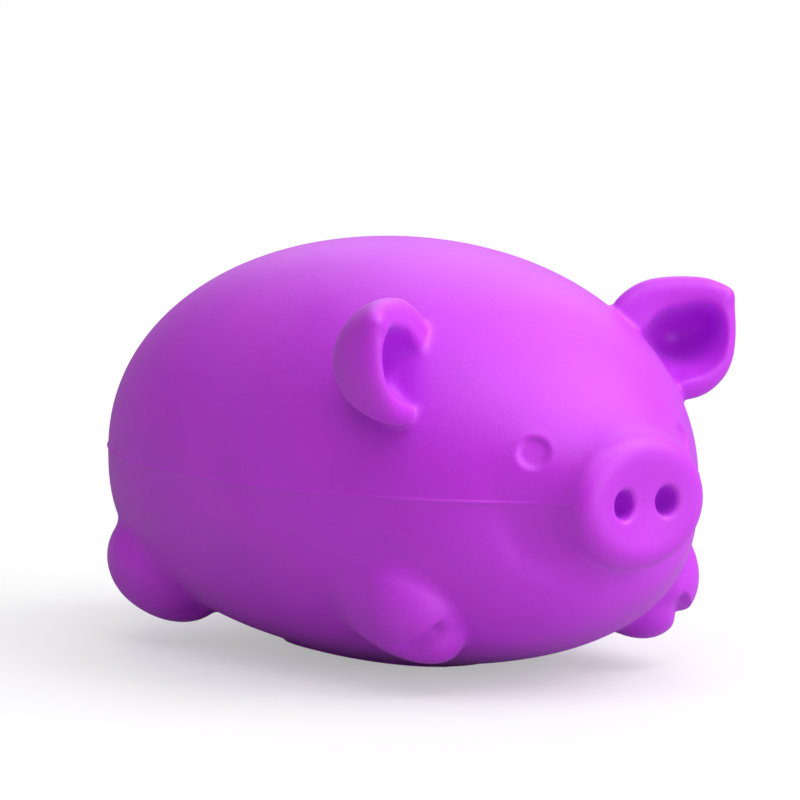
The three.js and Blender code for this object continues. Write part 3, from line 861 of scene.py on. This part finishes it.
# %% Node helpers and the shared groups
def add_node(tree, kind, **settings):
    """A node of the given kind with some of its own settings."""
    node = tree.nodes.new(kind)
    for name, value in settings.items():
        setattr(node, name, value)
    return node


def feed(tree, value, socket):
    """What goes into a socket: another socket's value, a colour or a plain number."""
    if isinstance(value, bpy.types.NodeSocket):
        tree.links.new(value, socket)
    else:
        socket.default_value = (*value, 1) if isinstance(value, tuple) else value


def noise(tree, coordinates, scale, detail=2.0, distortion=0.0):
    """A noise texture on the given coordinates. Its scale is in features to the metre."""
    node = add_node(tree, "ShaderNodeTexNoise")
    node.inputs["Detail"].default_value = detail
    node.inputs["Distortion"].default_value = distortion
    feed(tree, coordinates, node.inputs["Vector"])
    feed(tree, scale, node.inputs["Scale"])
    return node.outputs["Fac"]


def ramp(tree, value, low, high):
    """The value stretched so that low becomes 0 and high becomes 1, and cut off there."""
    node = add_node(tree, "ShaderNodeMapRange", clamp=True)
    node.inputs["From Min"].default_value = low
    node.inputs["From Max"].default_value = high
    feed(tree, value, node.inputs["Value"])
    return node.outputs["Result"]


def calculate(tree, operation, a, b):
    """One sum on two values, each a socket or a plain number."""
    node = add_node(tree, "ShaderNodeMath", operation=operation)
    feed(tree, a, node.inputs[0])
    feed(tree, b, node.inputs[1])
    return node.outputs[0]


def new_group(name, inputs, outputs):
    """An empty shader group with named sockets."""
    group = bpy.data.node_groups.new(name, "ShaderNodeTree")
    for socket, default in inputs.items():
        made = group.interface.new_socket(socket, in_out="INPUT", socket_type="NodeSocketFloat")
        made.default_value = default
    for socket in outputs:
        group.interface.new_socket(socket, in_out="OUTPUT", socket_type="NodeSocketFloat")
    return group, add_node(group, "NodeGroupInput"), add_node(group, "NodeGroupOutput")


def moulded_grain():
    """Fine grain as a height, and the unevenness of the dye as a mask."""
    group, given, result = new_group(
        "Moulded grain", {"Grain scale": 2600.0, "Dye scale": 70.0}, ["Height", "Dye"]
    )
    place = add_node(group, "ShaderNodeTexCoord").outputs["Object"]
    fine = noise(group, place, given.outputs["Grain scale"], 3)
    broad = noise(group, place, 330)
    height = calculate(group, "ADD", fine, calculate(group, "MULTIPLY", broad, 0.8))
    dye = noise(group, place, given.outputs["Dye scale"], 4)
    feed(group, height, result.inputs["Height"])
    feed(group, ramp(group, dye, 0.3, 0.7), result.inputs["Dye"])
    return group


def handling():
    """Dull smudges and tiny specks of lint, each as a mask."""
    group, given, result = new_group(
        "Handling", {"Smudge scale": 38.0, "Speck scale": 620.0}, ["Smudge", "Speck"]
    )
    place = add_node(group, "ShaderNodeTexCoord").outputs["Object"]
    smudge = noise(group, place, given.outputs["Smudge scale"], 5, 0.6)
    speck = add_node(group, "ShaderNodeTexVoronoi")
    feed(group, place, speck.inputs["Vector"])
    feed(group, given.outputs["Speck scale"], speck.inputs["Scale"])
    near = ramp(group, speck.outputs["Distance"], 0.13, 0.05)
    rare = ramp(group, noise(group, place, 160, 1), 0.6, 0.68)
    feed(group, ramp(group, smudge, 0.48, 0.72), result.inputs["Smudge"])
    feed(group, calculate(group, "MULTIPLY", near, rare), result.inputs["Speck"])
    return group


GRAIN, HANDLING = moulded_grain(), handling()
print("shader groups:", GRAIN.name, "and", HANDLING.name)

# %% The rubber and the dough
def mix_colour(tree, mask, first, second):
    """Two colours mixed by a mask. Each is a socket or a colour."""
    node = add_node(tree, "ShaderNodeMix", data_type="RGBA")
    feed(tree, mask, node.inputs["Factor"])
    feed(tree, first, node.inputs[6])
    feed(tree, second, node.inputs[7])
    return node.outputs[2]


SMUDGE_DUST, SPECK_DUST, SMUDGE_DULLNESS = 0.06, 0.12, 0.14


def soft_material(name, colour, deep_colour, dusty_colour, roughness, bump, sheen):
    """A matte soft material: dye that varies between two colours, smudges and specks that turn it
    paler and duller, and a fine grain."""
    material = bpy.data.materials.new(name)
    material.use_nodes = True
    tree = material.node_tree
    shader = tree.nodes["Principled BSDF"]
    grain = add_node(tree, "ShaderNodeGroup", node_tree=GRAIN)
    touched = add_node(tree, "ShaderNodeGroup", node_tree=HANDLING)
    dyed = mix_colour(tree, grain.outputs["Dye"], colour, deep_colour)
    smudge, speck = touched.outputs["Smudge"], touched.outputs["Speck"]
    dust = calculate(tree, "ADD", calculate(tree, "MULTIPLY", smudge, SMUDGE_DUST),
                     calculate(tree, "MULTIPLY", speck, SPECK_DUST))
    feed(tree, mix_colour(tree, dust, dyed, dusty_colour), shader.inputs["Base Color"])
    dull = calculate(tree, "MULTIPLY", smudge, SMUDGE_DULLNESS)
    feed(tree, calculate(tree, "ADD", dull, roughness), shader.inputs["Roughness"])
    relief = add_node(tree, "ShaderNodeBump")
    relief.inputs["Distance"].default_value = bump
    feed(tree, grain.outputs["Height"], relief.inputs["Height"])
    feed(tree, relief.outputs["Normal"], shader.inputs["Normal"])
    shader.inputs["Sheen Weight"].default_value = sheen
    shader.inputs["Sheen Roughness"].default_value = 0.6
    return material, shader


RUBBER, rubber_shader = soft_material(
    "Purple soft rubber", (0.60, 0.012, 0.83), (0.55, 0.008, 0.78), (0.74, 0.20, 0.88),
    roughness=0.50, bump=0.00003, sheen=0.13,
)
rubber_shader.inputs["Sheen Tint"].default_value = (1.0, 0.85, 1.0, 1)
rubber_shader.inputs["Specular IOR Level"].default_value = 0.7
DOUGH, _ = soft_material(
    "Cream dough", (0.78, 0.66, 0.50), (0.72, 0.58, 0.42), (0.85, 0.78, 0.66),
    roughness=0.62, bump=0.00006, sheen=0.1,
)

rubber_pieces = [skin, snout_piece, tail_piece, plug, *feet.values(), *ears.values()]
for piece in rubber_pieces:
    piece.data.materials.append(RUBBER)
dough.data.materials.append(DOUGH)
print("materials:", RUBBER.name, "on", len(rubber_pieces), "pieces,", DOUGH.name, "on 1")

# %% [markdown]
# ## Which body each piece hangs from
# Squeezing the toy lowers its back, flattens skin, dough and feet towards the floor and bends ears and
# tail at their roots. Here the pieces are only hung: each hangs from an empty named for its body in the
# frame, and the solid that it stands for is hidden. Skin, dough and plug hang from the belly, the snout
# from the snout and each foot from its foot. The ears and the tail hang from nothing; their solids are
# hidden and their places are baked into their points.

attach(skin, "belly")
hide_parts("upper_skin", "lower_skin")
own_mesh(skin)
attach(dough, "belly")
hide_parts("filling")
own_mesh(dough)
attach(plug, "belly")
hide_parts("belly_plug")

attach(snout_piece, "snout")
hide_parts("snout")
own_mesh(snout_piece)
for place, piece in feet.items():
    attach(piece, f"{place}_foot")
    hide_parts(f"{place}_foot")
    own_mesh(piece)


def bend_from_root(piece, node, way):
    """The piece's solid is hidden and its place is baked into its points; it is not bent, and the way
    is worked out but not used.
    """
    way = unit(np.asarray(way, float))
    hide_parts(node)
    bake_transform(piece)


for side, hand in (("left", 1), ("right", -1)):
    _, out, up, facing = ear_frame(hand)
    bend_from_root(ears[side], f"{side}_ear", out - 0.2 * up + 0.3 * facing)
bend_from_root(tail_piece, "tail", (0, 1, 0))

# %% [markdown]
# ## Floor, light and camera
# The toy stands on a white sweep under soft light, brightest from the right and above. To the camera
# the floor is a pale surface mixed with a painted white glow. Under the toy it is about a third glow,
# which lightens the toy's shadow, though the shadow stays. From 17 cm out it is all glow and fades into
# a white world, so no horizon shows. Rays that only light the toy meet a greyer floor, so that the
# belly stays as dark as a real table leaves it.

# %% The floor and the world
def seen_directly(tree):
    """1 for rays that show the place itself to the camera, straight on or through something clear."""
    path = add_node(tree, "ShaderNodeLightPath").outputs
    return calculate(tree, "MAXIMUM", path["Is Camera Ray"], path["Is Transmission Ray"])


def mix_shaders(tree, share, first, second, output):
    """Two shaders mixed by a share, put out as the surface of a material or a world."""
    node = add_node(tree, "ShaderNodeMixShader")
    for value, socket in zip((share, first.outputs[0], second.outputs[0]), node.inputs):
        feed(tree, value, socket)
    feed(tree, node.outputs[0], tree.nodes[output].inputs["Surface"])


FLOOR_HALF = 2.0
corners = [(x * FLOOR_HALF, y * FLOOR_HALF, 0) for x, y in ((-1, -1), (1, -1), (1, 1), (-1, 1))]
floor_mesh = bpy.data.meshes.new("floor")
floor_mesh.from_pydata(corners, [], [(0, 1, 2, 3)])
floor = new_object("floor", floor_mesh)
floor_material = bpy.data.materials.new("White sweep")
floor_material.use_nodes = True
tree = floor_material.node_tree
surface = tree.nodes["Principled BSDF"]
surface.inputs["Roughness"].default_value = 0.7
surface.inputs["Specular IOR Level"].default_value = 0.2
# A painted white glow, mixed into what the camera sees of the floor.
white = add_node(tree, "ShaderNodeEmission")
place = add_node(tree, "ShaderNodeTexCoord").outputs["Object"]
away = add_node(tree, "ShaderNodeVectorMath", operation="LENGTH")
feed(tree, place, away.inputs[0])
fade = ramp(tree, away.outputs["Value"], -0.10, 0.17)
straight = seen_directly(tree)
glossy = add_node(tree, "ShaderNodeLightPath").outputs["Is Glossy Ray"]
around = mix_colour(tree, glossy, (0.62, 0.62, 0.62), (0.2, 0.2, 0.2))
feed(tree, mix_colour(tree, straight, around, (0.9, 0.9, 0.9)), surface.inputs["Base Color"])
# The share of painted glow: about a third under the toy, which lightens its shadow, and all of it from
# 17 cm out.
far = calculate(tree, "MULTIPLY", fade, straight)
mix_shaders(tree, far, surface, white, "Material Output")
floor.data.materials.append(floor_material)

world = bpy.data.worlds.new("Pale studio")
world.use_nodes = True
bpy.context.scene.world = world
tree = world.node_tree
lighting = tree.nodes["Background"]
lighting.inputs["Color"].default_value = (1, 1, 1, 1)
lighting.inputs["Strength"].default_value = 0.10
backdrop = add_node(tree, "ShaderNodeBackground")
backdrop.inputs["Color"].default_value = (1, 1, 1, 1)
mix_shaders(tree, seen_directly(tree), lighting, backdrop, "World Output")
print("around the toy:", floor_material.name, "and", world.name)

# %% The camera, fitted to the photograph, and the lamps
CAMERA_TURN, CAMERA_RISE, CAMERA_ROLL = -35.0, 6.925, -0.226
CAMERA_PLACE = Vector((-0.39886, -0.56811, 0.11514))
TOY_MIDDLE = Vector((0, 0, 0.025))


def way_from_toy(azimuth, elevation):
    """The direction out of the toy at a turn, where 0 is straight ahead of it, and a height angle."""
    turn, rise = np.radians(azimuth), np.radians(elevation)
    return Vector((np.sin(turn) * np.cos(rise), -np.cos(turn) * np.cos(rise), np.sin(rise)))


camera_data = bpy.data.cameras.new("camera")
camera_data.lens = 259.04
camera_data.sensor_width = 36
camera_data.clip_start, camera_data.clip_end = 0.01, 20
camera = new_object("camera", camera_data)
camera.location = CAMERA_PLACE
camera.rotation_mode = "QUATERNION"
roll = Euler((0, 0, np.radians(CAMERA_ROLL))).to_quaternion()
ahead = -way_from_toy(CAMERA_TURN, CAMERA_RISE)
camera.rotation_quaternion = ahead.to_track_quat("-Z", "Y") @ roll
bpy.context.scene.camera = camera


def lamp(name, azimuth, elevation, distance, size, power):
    """A square soft lamp that points at the toy from a turn and a height angle."""
    data = bpy.data.lights.new(name, "AREA")
    data.size, data.energy = size, power
    made = new_object(name, data)
    way = way_from_toy(azimuth, elevation)
    made.location = TOY_MIDDLE + way * distance
    made.rotation_mode = "QUATERNION"
    made.rotation_quaternion = way.to_track_quat("Z", "Y")


lamp("key", 46, 46, 0.9, 0.7, 6.5)
lamp("front", 10, 6, 1.0, 0.8, 4.5)
lamp("side", -44, 60, 1.0, 0.8, 3.3)
lamp("fill", -110, 25, 1.0, 0.8, 0.6)
lamp("back", 140, 40, 1.0, 0.8, 3.0)
lamp("top", 0, 88, 0.8, 0.8, 1.4)
print("lamps:", len(bpy.data.lights))

# %% Colour management and the end
bpy.context.scene.view_settings.view_transform = "Standard"
bpy.context.view_layer.update()
